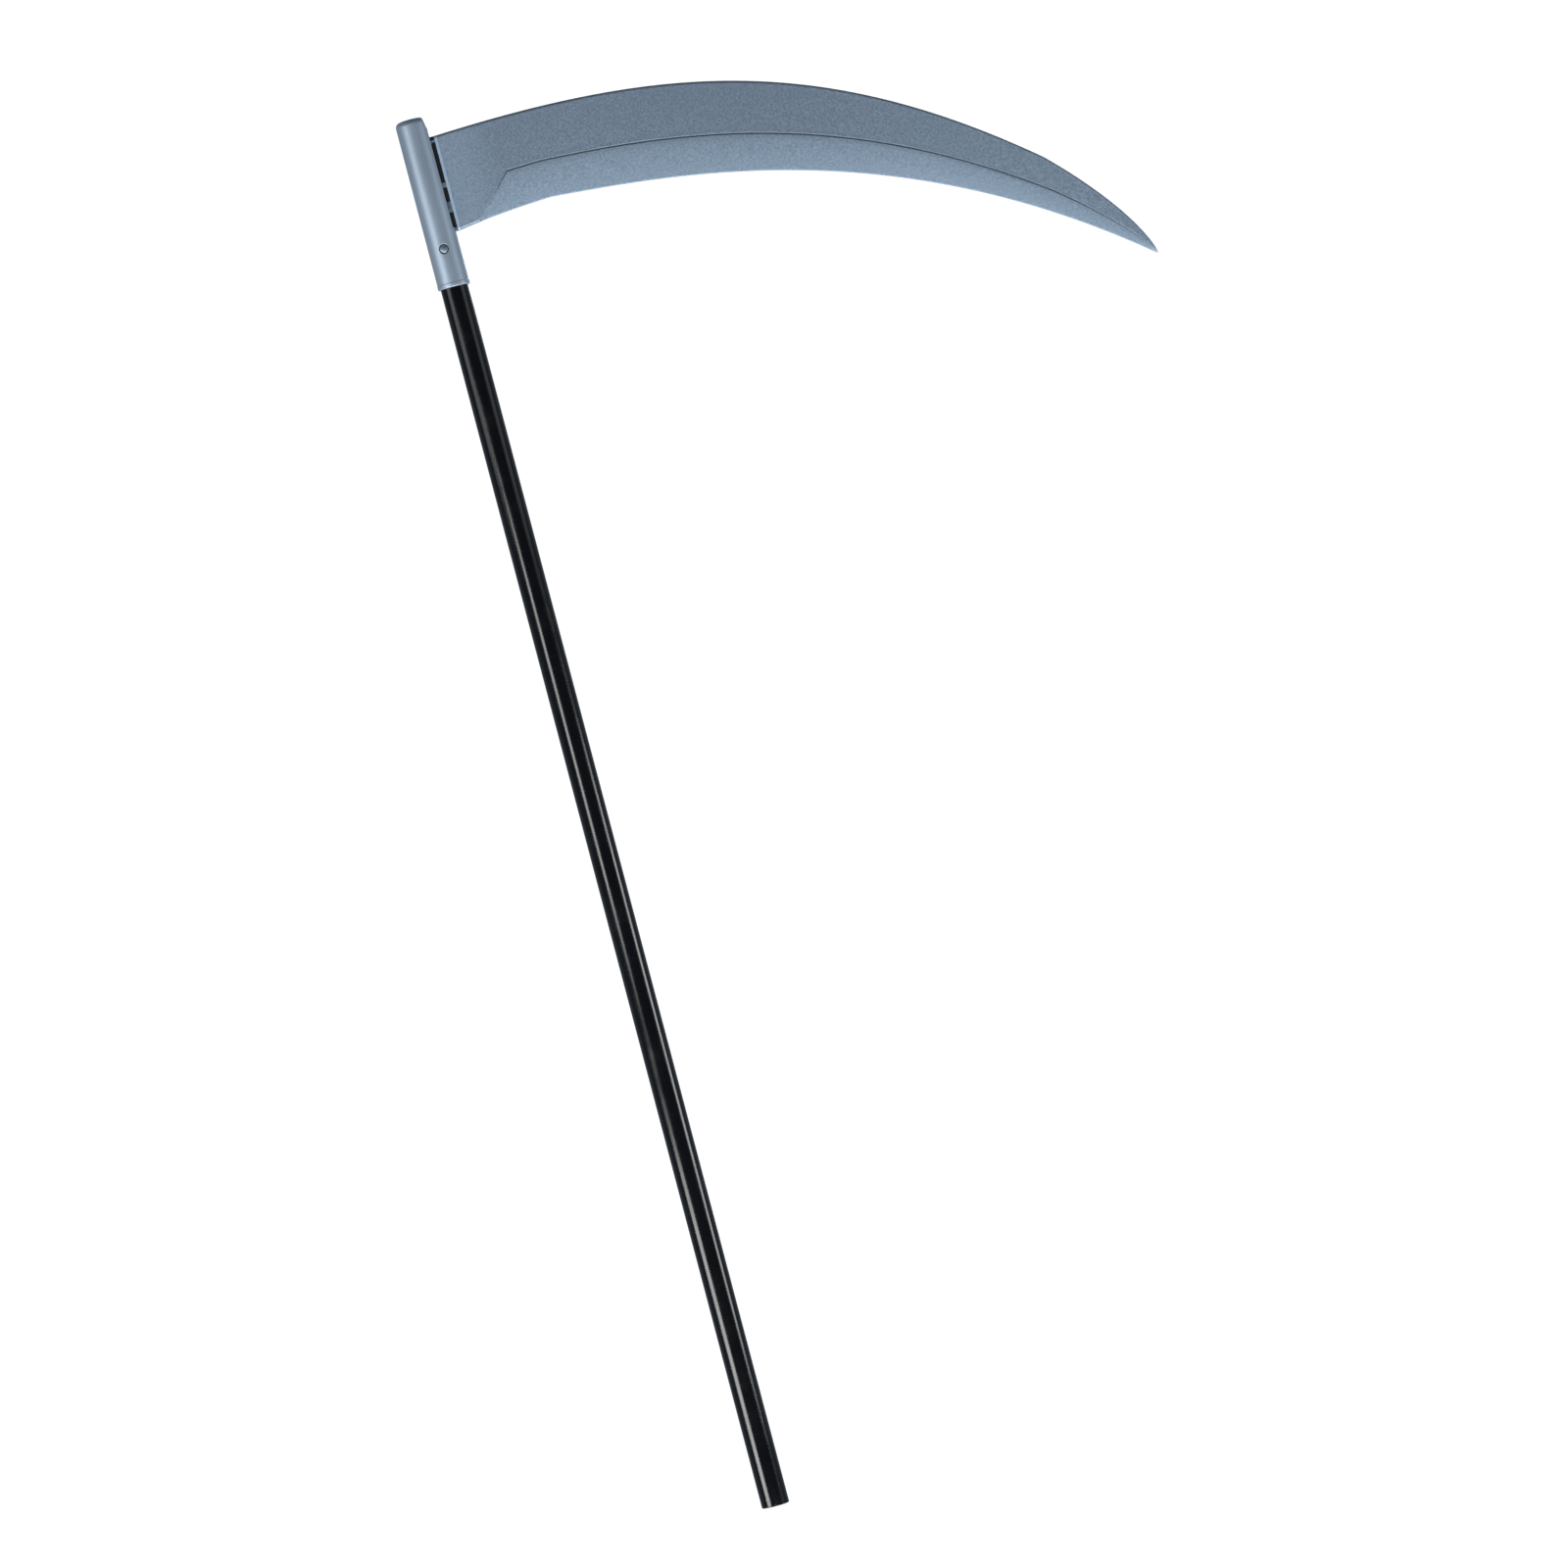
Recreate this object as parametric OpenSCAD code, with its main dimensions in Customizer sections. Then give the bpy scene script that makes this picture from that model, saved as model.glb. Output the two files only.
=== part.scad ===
// Plastic costume scythe: a silver crescent blade in a silver socket on a black three-piece pole.
// Frame: millimetres, +Z up the pole, +X towards the blade's tip, the front faces -Y.
// Origin: the centre of the pole's foot, on the pole's axis.

/* [Whole scythe] */
// Height from the foot to the top of the head
total_h = 1067; // [950:1:1200]
// Distance from the pole's axis to the tip of the blade
reach = 513.5; // [450:0.5:560]

/* [Pole] */
// Outside diameter of the pole
pole_d = 21; // [20:0.5:22]
// Wall of the pole's tubes
pole_wall = 1.2; // [1:0.1:1.5]
// Length of a coupler that is glued into the section below it
coupler_glued = 35; // [25:1:60]
// Length of a coupler that slides into the section above it
coupler_free = 50; // [30:1:60]

/* [Head] */
// Height of the head above the bare pole
head_h = 129; // [115:1:150]
// Wall of the socket
socket_wall = 1.5; // [1.4:0.1:1.8]
// Diameter of the snap button
button_d = 6.2; // [5.6:0.1:6.6]
// Distance from the blade's lower root corner down to the middle of the snap button
button_down = 10.8; // [8:0.1:14]

/* [Blade] */
// Thickness of the closed blade over its flat zone
blade_t = 7; // [6.6:0.1:8]
// Thickness of the blunt lower edge
edge_t = 2; // [1.6:0.1:2.4]
// Wall of each moulded half
blade_wall = 1.4; // [1.2:0.1:1.5]
// Share of the blade's depth that the bevel takes
bevel_share = 0.415; // [0.36:0.005:0.46]
// Width of the line that borders the bevel
groove_w = 1.8; // [1:0.1:2.4]
// Depth of the line that borders the bevel
groove_depth = 0.5; // [0.3:0.05:0.6]

/* [Hidden] */

$fn = 72;

// Colours
BLACK = [0.05, 0.05, 0.06];
SILVER = [0.62, 0.69, 0.75];
BLADE_GREY = [0.47, 0.54, 0.60];
STEEL = [0.70, 0.71, 0.73];
WHITE_PVC = [0.86, 0.86, 0.84];

// Gaps
glue_gap = 0.05; // between pieces that are glued together
run_gap = 0.06; // between pieces that slide
lay_gap = 0.1; // between pieces that only lie together
eps = 0.01;

// Pole
pole_r = pole_d / 2;
bore_r = pole_r - pole_wall;
lip_h = 1.2; // lip of the foot plug
plug_depth = 16;
head_z = total_h - head_h;
root_z = total_h - 89.2; // the lower corner of the blade's root
pole_top = root_z + 2.2;
section_h = floor((pole_top - lip_h) / 3 * 10) / 10;
tube_edge = 0.3; // broken outer edge at the ends of each tube
coupler_wall = 1.5;

// Head
sleeve_r = pole_r + run_gap;
socket_r = sleeve_r + socket_wall;
bead_h = 3.2; // raised rim round the mouth of the socket
bead_out = 0.25;
slot_half = 5.8; // half the width of the slot on the blade's side
flat_x = sqrt(socket_r * socket_r - slot_half * slot_half); // where the slot's lips end
slot_z = pole_top + 1;
cap_h = 10;
cap_z = total_h - cap_h;
cap_round = 4.5;
cap_plug_h = 6;
core_bore_r = 5.5;
core_top = cap_z - cap_plug_h - 1;

// Snap button and its spring, pressed along +Y
button_z = root_z - button_down;
button_r = button_d / 2;
window_r = button_r + 0.5; // hole in the socket
leaf_t = 0.6;
leaf_w = 8;
leaf_out = sqrt(bore_r * bore_r - leaf_w * leaf_w / 4) - 0.1;
leaf_in = leaf_out - leaf_t;
bend_z = button_z - 32;
crown_h = 0.7;
crown_top = socket_r - 0.5;
rivet_r = 1.4;

// Blade
root_x = 13.7; // the blade's root edge
web_top = root_z + 72.8;
half_t = blade_t / 2;
rim_w = 2.4; // raised border at the root
rim_out = 0.35;
land = 3.4; // glued land round the inside of each half
diag_x = [31, 60]; // the bevel's slanting end
reach_k = reach / 513.5;

// Spine and lower edge as cubic curves: [distance from the pole's axis, height above the root's corner]
SPINE_ROOT = [[12, 72.9], [190, 81.7], [309, 59.2], [449, -57.8]];
SPINE_TIP = [[449, -57.8], [478, -86], [506, -121], [513.5, -146.6]];
EDGE_ROOT = [[12, -0.2], [36, 3.8], [60, 5.8], [87, 7]];
EDGE_ARC = [[87, 7], [186, -0.5], [347, -11.4], [513.5, -149]];
spine_kink = SPINE_TIP[0][0] * reach_k;
edge_kink = EDGE_ARC[0][0] * reach_k;

// Moulded tongues that hook the blade into the head: [low, high] above the root's corner
TONGUES = [[14.8, 22.8], [33.7, 37.4], [68.2, 70.2]];
tongue_half = 3.1;
tongue_x = 8.6;
// Screws that hold the two halves together: [distance from the pole's axis, height above the root's corner]
ROOT_SCREWS = [[29, 54], [29, 22], [58, 53]];
LONG_SCREWS = [[120, 50], [210, 40.5], [300, 17.5], [385, -22]];
BLADE_SCREWS = concat(ROOT_SCREWS, [for (s = LONG_SCREWS) [s[0] * reach_k, s[1]]]);
boss_r = 3;
pilot_r = 1.05;
screw_r = 1.3;
screw_hole_r = 1.5;
screw_head_r = 2.5;
boss_top = half_t - blade_wall - lay_gap;
// Screws that hold the carrier in the socket, above the root's corner
CARRIER_SCREWS = [18, 58];

// A point on a cubic curve, and the height of a cubic curve at a given distance x
function on_curve(p, t) = pow(1 - t, 3) * p[0] + 3 * pow(1 - t, 2) * t * p[1]
    + 3 * (1 - t) * t * t * p[2] + t * t * t * p[3];
function height_at(p, x, lo = 0, hi = 1, n = 18) =
    n == 0 ? on_curve(p, (lo + hi) / 2)[1]
    : on_curve(p, (lo + hi) / 2)[0] * reach_k < x ? height_at(p, x, (lo + hi) / 2, hi, n - 1)
    : height_at(p, x, lo, (lo + hi) / 2, n - 1);
function edge_z(x) = root_z + (x < edge_kink ? height_at(EDGE_ROOT, x) : height_at(EDGE_ARC, x));
function spine_z(x) = root_z + (x < spine_kink ? height_at(SPINE_ROOT, x) : height_at(SPINE_TIP, x));

// How far the slanting end of the bevel has run at x, from 0 to 1
function ramp(x, a, b) = min(1, max(0, (x - a) / (b - a)));
// Half the thickness of the flat zone: thinner towards the tip, thicker on the root's border
function flat_d(x) = half_t * (1 - 0.5 * ramp(x, 0.7 * reach, reach))
    + (x > root_x + 0.3 && x < root_x + rim_w ? rim_out : 0);

// Outer outline of one half at x: [height, depth from the parting plane]
function outer_section(x) =
    let (
        low = edge_z(x),
        high = spine_z(x),
        s = high - low,
        flat = flat_d(x),
        run = ramp(x, diag_x[0], diag_x[1]),
        line = low + run * bevel_share * s,
        g = min(groove_w / 2, s * 0.08),
        cut = groove_depth * run * min(1, s / 20),
        edge = min(edge_t / 2, flat * 0.8),
        bevel = edge + (flat - 0.15 - edge) * run,
        round = min(2.6, s * 0.2)
    )
    run == 0 ? [[low, 0], [low, flat - 1.2], [low + 0.4, flat - 0.5], [low + 0.9, flat - 0.15],
        [low + 1.6, flat], [high - round, flat], [high - round * 0.3, flat * 0.8],
        [high, flat * 0.45], [high, 0]]
    : [[low, 0], [low, edge], [max(line - g, low + 0.4), bevel], [max(line, low + 0.8), bevel - cut],
        [max(line + g, low + 1.2), flat], [high - round, flat], [high - round * 0.3, flat * 0.8],
        [high, flat * 0.45], [high, 0]];

// Outline of the hollow in one half at x; it runs past the parting plane
function hollow_section(x) =
    let (
        low = edge_z(x),
        high = spine_z(x),
        s = high - low,
        run = ramp(x, diag_x[0], diag_x[1]),
        line = low + run * bevel_share * s,
        deep = half_t * (1 - 0.5 * ramp(x, 0.7 * reach, reach)) - blade_wall,
        start = low + max(land, run * 0.34 * bevel_share * s)
    )
    [[start, -1], [start, 0.3], [max(line - 2, start + 0.5), deep * (run > 0 ? 0.72 : 0.9)],
        [max(line + 1, start + 1), deep], [high - land, deep], [high - land, -1]];

// Stations along the blade: close together at the root, over the slanting end and at the tip
STATIONS = concat([root_x, root_x + 0.4, root_x + rim_w - 0.1, root_x + rim_w + 0.5, 23, diag_x[0]],
    [for (i = [1 : 6]) diag_x[0] + (diag_x[1] - diag_x[0]) * i / 6],
    [(diag_x[1] + edge_kink) / 2],
    [for (i = [0 : 25]) edge_kink + (reach - edge_kink) * sin(90 * i / 25)]);
HOLLOW_STATIONS = concat([root_x - 2, 23, diag_x[0]],
    [for (i = [1 : 3]) diag_x[0] + (diag_x[1] - diag_x[0]) * i / 3],
    [for (i = [1 : 14]) diag_x[1] + (0.86 * reach - diag_x[1]) * i / 14]);

// A solid through equal outlines at the given stations; side is -1 for the front half, 1 for the back
module loft(stations, outlines, side) {
    n = len(outlines[0]);
    m = len(stations);
    points = [for (i = [0 : m - 1]) for (p = outlines[i]) [stations[i], p[1], p[0]]];
    skin = [for (i = [0 : m - 2]) for (j = [0 : n - 1])
        [i * n + j, (i + 1) * n + j, (i + 1) * n + (j + 1) % n, i * n + (j + 1) % n]];
    start = [[for (j = [0 : n - 1]) j]];
    finish = [[for (j = [n - 1 : -1 : 0]) (m - 1) * n + j]];
    mirror([0, side < 0 ? 1 : 0, 0])
        polyhedron(points = points, faces = concat(skin, start, finish), convexity = 4);
}

module tube(r, bore, z0, z1) {
    translate([0, 0, z0])
        difference() {
            union() {
                cylinder(r1 = r - tube_edge, r2 = r, h = tube_edge);
                translate([0, 0, tube_edge])
                    cylinder(r = r, h = z1 - z0 - 2 * tube_edge);
                translate([0, 0, z1 - z0 - tube_edge])
                    cylinder(r1 = r, r2 = r - tube_edge, h = tube_edge);
            }
            translate([0, 0, -1])
                cylinder(r = bore, h = z1 - z0 + 2);
        }
}

// A cylinder along Y from y0 to y1
module along_y(x, z, y0, y1, r0, r1) {
    translate([x, y0, z])
        rotate([-90, 0, 0])
            cylinder(r1 = r0, r2 = r1, h = y1 - y0);
}

// A countersunk screw that points to -Y, with a cross recess
module screw(x, z, head_y, length, head_r, shank_r) {
    head_h = head_r - shank_r;
    difference() {
        union() {
            along_y(x, z, head_y - head_h, head_y, shank_r, head_r);
            along_y(x, z, head_y - length, head_y - head_h, shank_r, shank_r);
        }
        for (turn = [0, 90])
            translate([x, head_y, z])
                rotate([0, turn, 0])
                    cube([head_r * 1.2, 1.2, 0.7], center = true);
    }
}

module pole_section(index) {
    z0 = lip_h + section_h * index;
    tube(pole_r, bore_r, z0, z0 + section_h);
}

module coupler(index) {
    joint_z = lip_h + section_h * index;
    color(WHITE_PVC)
        difference() {
            union() {
                translate([0, 0, joint_z - coupler_glued])
                    cylinder(r = bore_r - glue_gap, h = coupler_glued);
                translate([0, 0, joint_z])
                    cylinder(r = bore_r - run_gap, h = coupler_free - 2);
                translate([0, 0, joint_z + coupler_free - 2])
                    cylinder(r1 = bore_r - run_gap, r2 = bore_r - 1, h = 2);
            }
            translate([0, 0, joint_z - coupler_glued - 1])
                cylinder(r = bore_r - coupler_wall, h = coupler_glued + coupler_free + 2);
        }
}

module foot_plug() {
    color(BLACK)
        difference() {
            union() {
                cylinder(r1 = pole_r - 0.4, r2 = pole_r, h = 0.4);
                translate([0, 0, 0.4])
                    cylinder(r = pole_r, h = lip_h - 0.4);
                translate([0, 0, lip_h])
                    cylinder(r = bore_r - glue_gap, h = plug_depth - 1);
                translate([0, 0, lip_h + plug_depth - 1])
                    cylinder(r1 = bore_r - glue_gap, r2 = bore_r - 0.8, h = 1);
            }
            translate([0, 0, lip_h + 1.5])
                cylinder(r = bore_r - 2, h = plug_depth);
        }
}

module pole_lower() {
    color(BLACK)
        pole_section(0);
}

module coupler_lower() {
    coupler(1);
}

module pole_middle() {
    color(BLACK)
        pole_section(1);
}

module coupler_upper() {
    coupler(2);
}

module pole_upper() {
    color(BLACK)
        difference() {
            pole_section(2);
            along_y(0, button_z, -pole_r - 1, 0, button_r + run_gap, button_r + run_gap);
        }
}

// A leaf bent into a U: the button's arm in front, the bearing arm behind
module snap_spring() {
    color(STEEL)
        difference() {
            translate([-leaf_w / 2, 0, 0])
                rotate([90, 0, 90])
                    linear_extrude(height = leaf_w)
                        union() {
                            translate([-leaf_out, bend_z])
                                square([leaf_t, button_z + 5 - bend_z]);
                            translate([leaf_in, bend_z])
                                square([leaf_t, button_z + 8 - bend_z]);
                            translate([0, bend_z])
                                intersection() {
                                    difference() {
                                        circle(r = leaf_out);
                                        circle(r = leaf_in);
                                    }
                                    translate([-leaf_out - 1, -leaf_out - 1])
                                        square([2 * leaf_out + 2, leaf_out + 1 + eps]);
                                }
                        }
            along_y(0, button_z, -leaf_out - 1, 0, rivet_r + 0.1, rivet_r + 0.1);
        }
}

// Domed button, riveted through the front arm of its spring
module snap_button() {
    dome_r = (button_r * button_r + crown_h * crown_h) / (2 * crown_h);
    color(STEEL)
        union() {
            intersection() {
                along_y(0, button_z, -crown_top, -leaf_out - 0.05, button_r, button_r);
                translate([0, dome_r - crown_top, button_z])
                    sphere(r = dome_r, $fn = 144);
            }
            along_y(0, button_z, -leaf_out - 0.1, -leaf_in + 0.6, rivet_r, rivet_r);
            along_y(0, button_z, -leaf_in + 0.05, -leaf_in + 0.65, 2.2, 1.8);
        }
}

module socket() {
    color(SILVER)
        difference() {
            union() {
                translate([0, 0, head_z])
                    cylinder(r = socket_r, h = cap_z - head_z);
                translate([0, 0, head_z])
                    cylinder(r1 = socket_r, r2 = socket_r + bead_out, h = 0.6);
                translate([0, 0, head_z + 0.6])
                    cylinder(r = socket_r + bead_out, h = bead_h - 1.2);
                translate([0, 0, head_z + bead_h - 0.6])
                    cylinder(r1 = socket_r + bead_out, r2 = socket_r, h = 0.6);
            }
            translate([0, 0, head_z - 1])
                cylinder(r = sleeve_r, h = cap_z - head_z + 2);
            translate([0, -slot_half, slot_z])
                cube([socket_r + 1, 2 * slot_half, cap_z - slot_z + 1]);
            along_y(0, button_z, -socket_r - 1, -sleeve_r + 1, window_r, window_r);
            along_y(0, button_z, -socket_r - eps, -socket_r + 0.6, window_r + 0.6, window_r);
            for (h = CARRIER_SCREWS) {
                along_y(0, root_z + h, 0, socket_r + 1, screw_hole_r, screw_hole_r);
                along_y(0, root_z + h, socket_r - 1.5, socket_r + eps, screw_hole_r - 0.1, screw_head_r + 0.3);
            }
        }
}

// Domed cap with a plug in the sleeve and a key that closes the top of the slot
module socket_cap() {
    lean = 10; // the blade's side of the cap leans back by this many degrees
    color(SILVER)
        difference() {
            union() {
                translate([0, 0, cap_z])
                    rotate_extrude()
                        intersection() {
                            translate([0, -cap_h])
                                square([socket_r, 2 * cap_h]);
                            union() {
                                square([socket_r, cap_h - cap_round]);
                                square([socket_r - cap_round, cap_h]);
                                translate([socket_r - cap_round, cap_h - cap_round])
                                    circle(r = cap_round);
                            }
                        }
                translate([0, 0, cap_z - cap_plug_h])
                    cylinder(r = sleeve_r - glue_gap, h = cap_plug_h + eps);
                translate([0, -slot_half + lay_gap, cap_z - cap_plug_h])
                    cube([flat_x, 2 * (slot_half - lay_gap), cap_plug_h + eps]);
            }
            translate([flat_x, -socket_r - 1, cap_z])
                rotate([0, -lean, 0])
                    translate([0, 0, -cap_h])
                        cube([10, 2 * socket_r + 2, 3 * cap_h]);
            translate([0, 0, cap_z - cap_plug_h - 1])
                cylinder(r = sleeve_r - 3, h = cap_plug_h + 1);
        }
}

// Black core in the sleeve, with a key in the slot, a web and a tang between the halves of the blade
module blade_carrier() {
    core_z = slot_z + lay_gap;
    web_half = 3.2;
    tang_half = half_t - blade_wall - lay_gap;
    color(BLACK)
        difference() {
            union() {
                translate([0, 0, core_z])
                    cylinder(r = sleeve_r - glue_gap, h = core_top - core_z);
                translate([0, -slot_half + lay_gap, core_z])
                    cube([flat_x, 2 * (slot_half - lay_gap), core_top - core_z]);
                translate([sleeve_r - 1, -web_half, core_z])
                    cube([root_x - lay_gap - sleeve_r + 1, 2 * web_half, web_top - core_z]);
                translate([0, tang_half, root_z])
                    rotate([90, 0, 0])
                        linear_extrude(height = 2 * tang_half)
                            polygon([[root_x - 1, 6.4], [27, 8.4], [66, 43], [66, 60], [root_x - 1, 68]]);
            }
            translate([0, 0, core_z - 1])
                cylinder(r = core_bore_r, h = core_top);
            for (t = TONGUES)
                translate([tongue_x - lay_gap, -web_half - eps, root_z + t[0] - lay_gap])
                    cube([18.2 - tongue_x, 2 * web_half + 2 * eps, t[1] - t[0] + 2 * lay_gap]);
            for (s = ROOT_SCREWS)
                along_y(s[0], root_z + s[1], -half_t, half_t, boss_r + 0.2, boss_r + 0.2);
            for (h = CARRIER_SCREWS)
                along_y(0, root_z + h, 0, socket_r, pilot_r, pilot_r);
        }
}

module carrier_screws() {
    color(STEEL)
        for (h = CARRIER_SCREWS)
            screw(0, root_z + h, socket_r - 0.15, 7, screw_head_r, screw_r);
}

// One moulded half of the blade, hollow, with tongues at its root
module blade_half(side) {
    difference() {
        loft(STATIONS, [for (x = STATIONS) outer_section(x)], side);
        loft(HOLLOW_STATIONS, [for (x = HOLLOW_STATIONS) hollow_section(x)], side);
    }
    for (t = TONGUES)
        translate([tongue_x, side < 0 ? -tongue_half : eps, root_z + t[0]])
            cube([18 - tongue_x, tongue_half - eps, t[1] - t[0]]);
    translate([socket_r + lay_gap, side < 0 ? -2.6 : eps, root_z + 0.3])
        cube([3, 2.6 - eps, 2.8]);
}

module blade_front() {
    color(BLADE_GREY)
        difference() {
            union() {
                blade_half(-1);
                for (s = BLADE_SCREWS)
                    along_y(s[0], root_z + s[1], -half_t + blade_wall / 2, boss_top,
                        boss_r, boss_r);
            }
            for (s = BLADE_SCREWS)
                along_y(s[0], root_z + s[1], -half_t + 1.6, half_t, pilot_r, pilot_r);
        }
}

module blade_back() {
    color(BLADE_GREY)
        difference() {
            blade_half(1);
            for (s = BLADE_SCREWS) {
                along_y(s[0], root_z + s[1], 0, half_t + 1, screw_hole_r, screw_hole_r);
                along_y(s[0], root_z + s[1], half_t - 1.2, half_t + eps,
                    screw_hole_r - 0.1, screw_head_r + 0.15);
            }
        }
}

module blade_screws() {
    color(STEEL)
        for (s = BLADE_SCREWS)
            screw(s[0], root_z + s[1], half_t - 0.1, 5, screw_head_r, screw_r);
}

foot_plug();
pole_lower();
coupler_lower();
pole_middle();
coupler_upper();
pole_upper();
snap_spring();
snap_button();
socket();
socket_cap();
blade_carrier();
carrier_screws();
blade_front();
blade_back();
blade_screws();
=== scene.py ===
"""Plastic costume scythe: detailed meshes, materials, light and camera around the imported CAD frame.

Lengths are in millimetres in the CAD frame until a mesh is made, and in metres after that.
"""
import math

import bmesh
import bpy
from mathutils import Matrix, Vector


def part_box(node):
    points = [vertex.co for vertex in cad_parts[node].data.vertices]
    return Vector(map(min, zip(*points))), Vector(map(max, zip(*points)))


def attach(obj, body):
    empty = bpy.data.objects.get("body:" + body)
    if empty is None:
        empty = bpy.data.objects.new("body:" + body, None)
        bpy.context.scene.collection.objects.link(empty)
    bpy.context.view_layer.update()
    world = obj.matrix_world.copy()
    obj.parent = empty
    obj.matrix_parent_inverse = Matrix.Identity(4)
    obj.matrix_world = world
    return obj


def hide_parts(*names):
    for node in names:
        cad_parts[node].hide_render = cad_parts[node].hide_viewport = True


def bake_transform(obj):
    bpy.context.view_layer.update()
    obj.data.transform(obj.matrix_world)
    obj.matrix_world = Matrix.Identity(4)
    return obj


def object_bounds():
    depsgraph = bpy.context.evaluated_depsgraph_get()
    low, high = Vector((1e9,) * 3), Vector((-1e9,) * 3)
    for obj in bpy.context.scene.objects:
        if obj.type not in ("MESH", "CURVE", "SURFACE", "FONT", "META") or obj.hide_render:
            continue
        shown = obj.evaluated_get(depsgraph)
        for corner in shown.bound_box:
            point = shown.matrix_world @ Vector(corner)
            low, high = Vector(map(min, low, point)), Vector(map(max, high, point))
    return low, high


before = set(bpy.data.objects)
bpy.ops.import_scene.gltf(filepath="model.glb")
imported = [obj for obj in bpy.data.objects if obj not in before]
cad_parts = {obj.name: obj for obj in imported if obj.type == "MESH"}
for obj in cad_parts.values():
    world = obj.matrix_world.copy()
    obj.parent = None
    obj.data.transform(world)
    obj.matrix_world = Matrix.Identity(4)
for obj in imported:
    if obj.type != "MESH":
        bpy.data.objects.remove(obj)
cad_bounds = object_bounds()

MM = 0.001
UP = (0, 0, 1)
FRONT = (0, -1, 0)
BACK = (0, 1, 0)


# ---------------------------------------------------------------- sizes, from the frame

def low_mm(node):
    """The lowest corner of a CAD node, in millimetres."""
    return Vector(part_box(node)[0]) / MM


def high_mm(node):
    """The highest corner of a CAD node, in millimetres."""
    return Vector(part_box(node)[1]) / MM


TOTAL_H = cad_bounds[1].z / MM
REACH = high_mm("blade_front").x
POLE_R = high_mm("pole_lower").x
POLE_WALL = 1.2
GLUE_GAP = 0.05
RUN_GAP = 0.06
COUPLER_FREE = 50
COUPLER_WALL = 1.5
BORE_R = POLE_R - POLE_WALL
HEAD_Z = low_mm("socket").z
CAP_Z = high_mm("socket").z
SOCKET_R = -low_mm("socket_cap").x
SLEEVE_R = POLE_R + RUN_GAP
SLOT_HALF = 5.8
FLAT_X = math.sqrt(SOCKET_R**2 - SLOT_HALF**2)
SLOT_Z = low_mm("blade_carrier").z - 0.1
BUTTON_Z = (low_mm("snap_button").z + high_mm("snap_button").z) / 2
BUTTON_R = high_mm("snap_button").x
BUTTON_TOP = -low_mm("snap_button").y
WINDOW_R = BUTTON_R + 0.5
RIVET_R = 1.4

# The spring: its leaf's width and thickness, and the distance of its middle from the pole's axis
LEAF_W = 8
LEAF_T = 0.6
LEAF_Y = 8.0
BEND_Z = BUTTON_Z - 32

# The blade: its root corner, its flat zone and its bevel
ROOT_X = 13.7
ROOT_Z = TOTAL_H - 89.2
HALF_T = 3.5
EDGE_HALF = 1.0
WALL = 1.4
BEVEL_SHARE = 0.415
DIAG_START, DIAG_END = 31.0, 60.0
GROOVE_DEPTH = 0.55
GROOVE_HALF = 0.95
RIM_OUT = 0.35
SPINE_ROUND = 2.6
LAND = 3.4
HOLLOW_END = 0.86 * REACH
TIP_ROUND = 1.6

# Spine and lower edge as cubic curves: distance from the pole's axis, height above the root's corner
SPINE_ROOT = ((12, 72.9), (190, 81.7), (309, 59.2), (449, -57.8))
SPINE_TIP = ((449, -57.8), (478, -86), (506, -121), (513.5, -146.6))
EDGE_ROOT = ((12, -0.2), (36, 3.8), (60, 5.8), (87, 7))
EDGE_ARC = ((87, 7), (186, -0.5), (347, -11.4), (513.5, -149))

TONGUES = ((14.8, 22.8), (33.7, 37.4), (68.2, 70.2))
TONGUE_HALF = 3.1
TONGUE_X = 8.6
BLADE_SCREWS = ((29, 54), (29, 22), (58, 53), (120, 50), (210, 40.5), (300, 17.5), (385, -22))
CARRIER_SCREWS = (18, 58)
BOSS_R = 3.0
BOSS_TOP = HALF_T - WALL - 0.1
PILOT_R = 1.05
SCREW_R = 1.3
SCREW_HOLE_R = 1.5
SCREW_HEAD_R = 2.5


# ---------------------------------------------------------------- mesh helpers

def finish_mesh(obj, sharp=32):
    """Smooth shading with edges sharper than the given angle kept crisp."""
    obj.data.polygons.foreach_set("use_smooth", [True] * len(obj.data.polygons))
    obj.data.set_sharp_from_angle(angle=math.radians(sharp))
    obj.data.update()
    shade = obj.modifiers.new("even shading", "WEIGHTED_NORMAL")
    shade.keep_sharp = True
    shade.weight = 100


def in_scene(name, data):
    """A new object for a mesh, a light or a camera, linked to the scene."""
    obj = bpy.data.objects.new(name, data)
    bpy.context.scene.collection.objects.link(obj)
    return obj


def from_bmesh(name, bm):
    """A new mesh object from a bmesh, which is freed."""
    mesh = bpy.data.meshes.new(name)
    bm.to_mesh(mesh)
    bm.free()
    return in_scene(name, mesh)


def new_piece(name, points, faces):
    """A mesh object from points in millimetres, with its faces turned outwards."""
    mesh = bpy.data.meshes.new(name)
    mesh.from_pydata([Vector(p) * MM for p in points], [], faces)
    bm = bmesh.new()
    bm.from_mesh(mesh)
    bmesh.ops.recalc_face_normals(bm, faces=bm.faces)
    bm.to_mesh(mesh)
    bm.free()
    return in_scene(name, mesh)


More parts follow.
